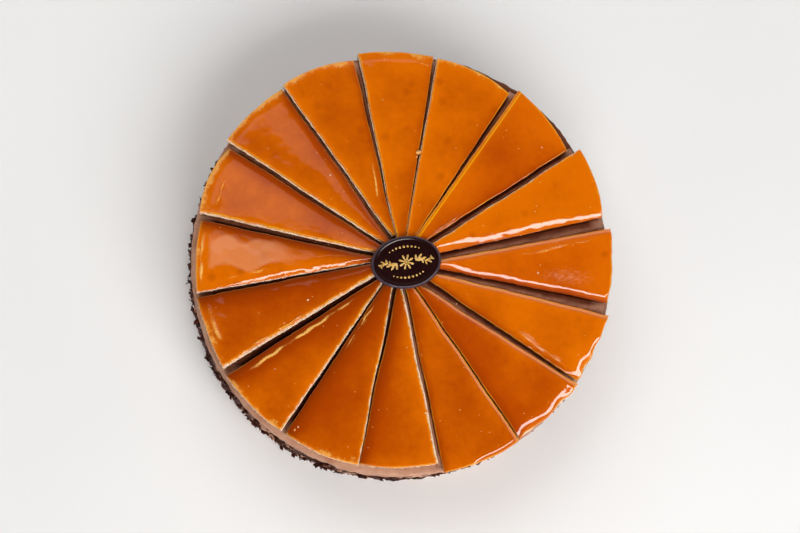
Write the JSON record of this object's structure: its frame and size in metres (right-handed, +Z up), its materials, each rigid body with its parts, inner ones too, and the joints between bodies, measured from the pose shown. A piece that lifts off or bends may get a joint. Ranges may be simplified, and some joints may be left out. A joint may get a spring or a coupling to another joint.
{
  "type": "dobos torte",
  "caption": "Round layered torte with chocolate buttercream and side shavings, fanned caramel-glazed sponge slices on top and an oval chocolate plaque in the middle.",
  "frame": {"origin": "centre of the base, in the plane the torte stands on", "axes": "+Z up; +Y toward the top of the picture, across the torte; +X toward its right"},
  "size_m": [0.2526, 0.2557, 0.058],
  "materials": {
    "buttercream": "soft satin chocolate buttercream",
    "sponge": "matte, porous",
    "caramel": "hard gloss, slightly wavy",
    "chocolate": "satin to gloss dark chocolate"
  },
  "bodies": {
    "root": {"torte_body": "buttercream", "sponge_01": "sponge", "sponge_02": "sponge", "sponge_03": "sponge", "sponge_04": "sponge", "sponge_05": "sponge", "sponge_06": "sponge", "sponge_07": "sponge", "sponge_08": "sponge", "sponge_09": "sponge", "sponge_10": "sponge", "sponge_11": "sponge", "sponge_12": "sponge", "sponge_13": "sponge", "sponge_14": "sponge", "sponge_15": "sponge", "sponge_16": "sponge", "caramel_01": "caramel", "caramel_02": "caramel", "caramel_03": "caramel", "caramel_04": "caramel", "caramel_05": "caramel", "caramel_06": "caramel", "caramel_07": "caramel", "caramel_08": "caramel", "caramel_09": "caramel", "caramel_10": "caramel", "caramel_11": "caramel", "caramel_12": "caramel", "caramel_13": "caramel", "caramel_14": "caramel", "caramel_15": "caramel", "caramel_16": "caramel", "plaque": "chocolate"}
  },
  "joints": []
}
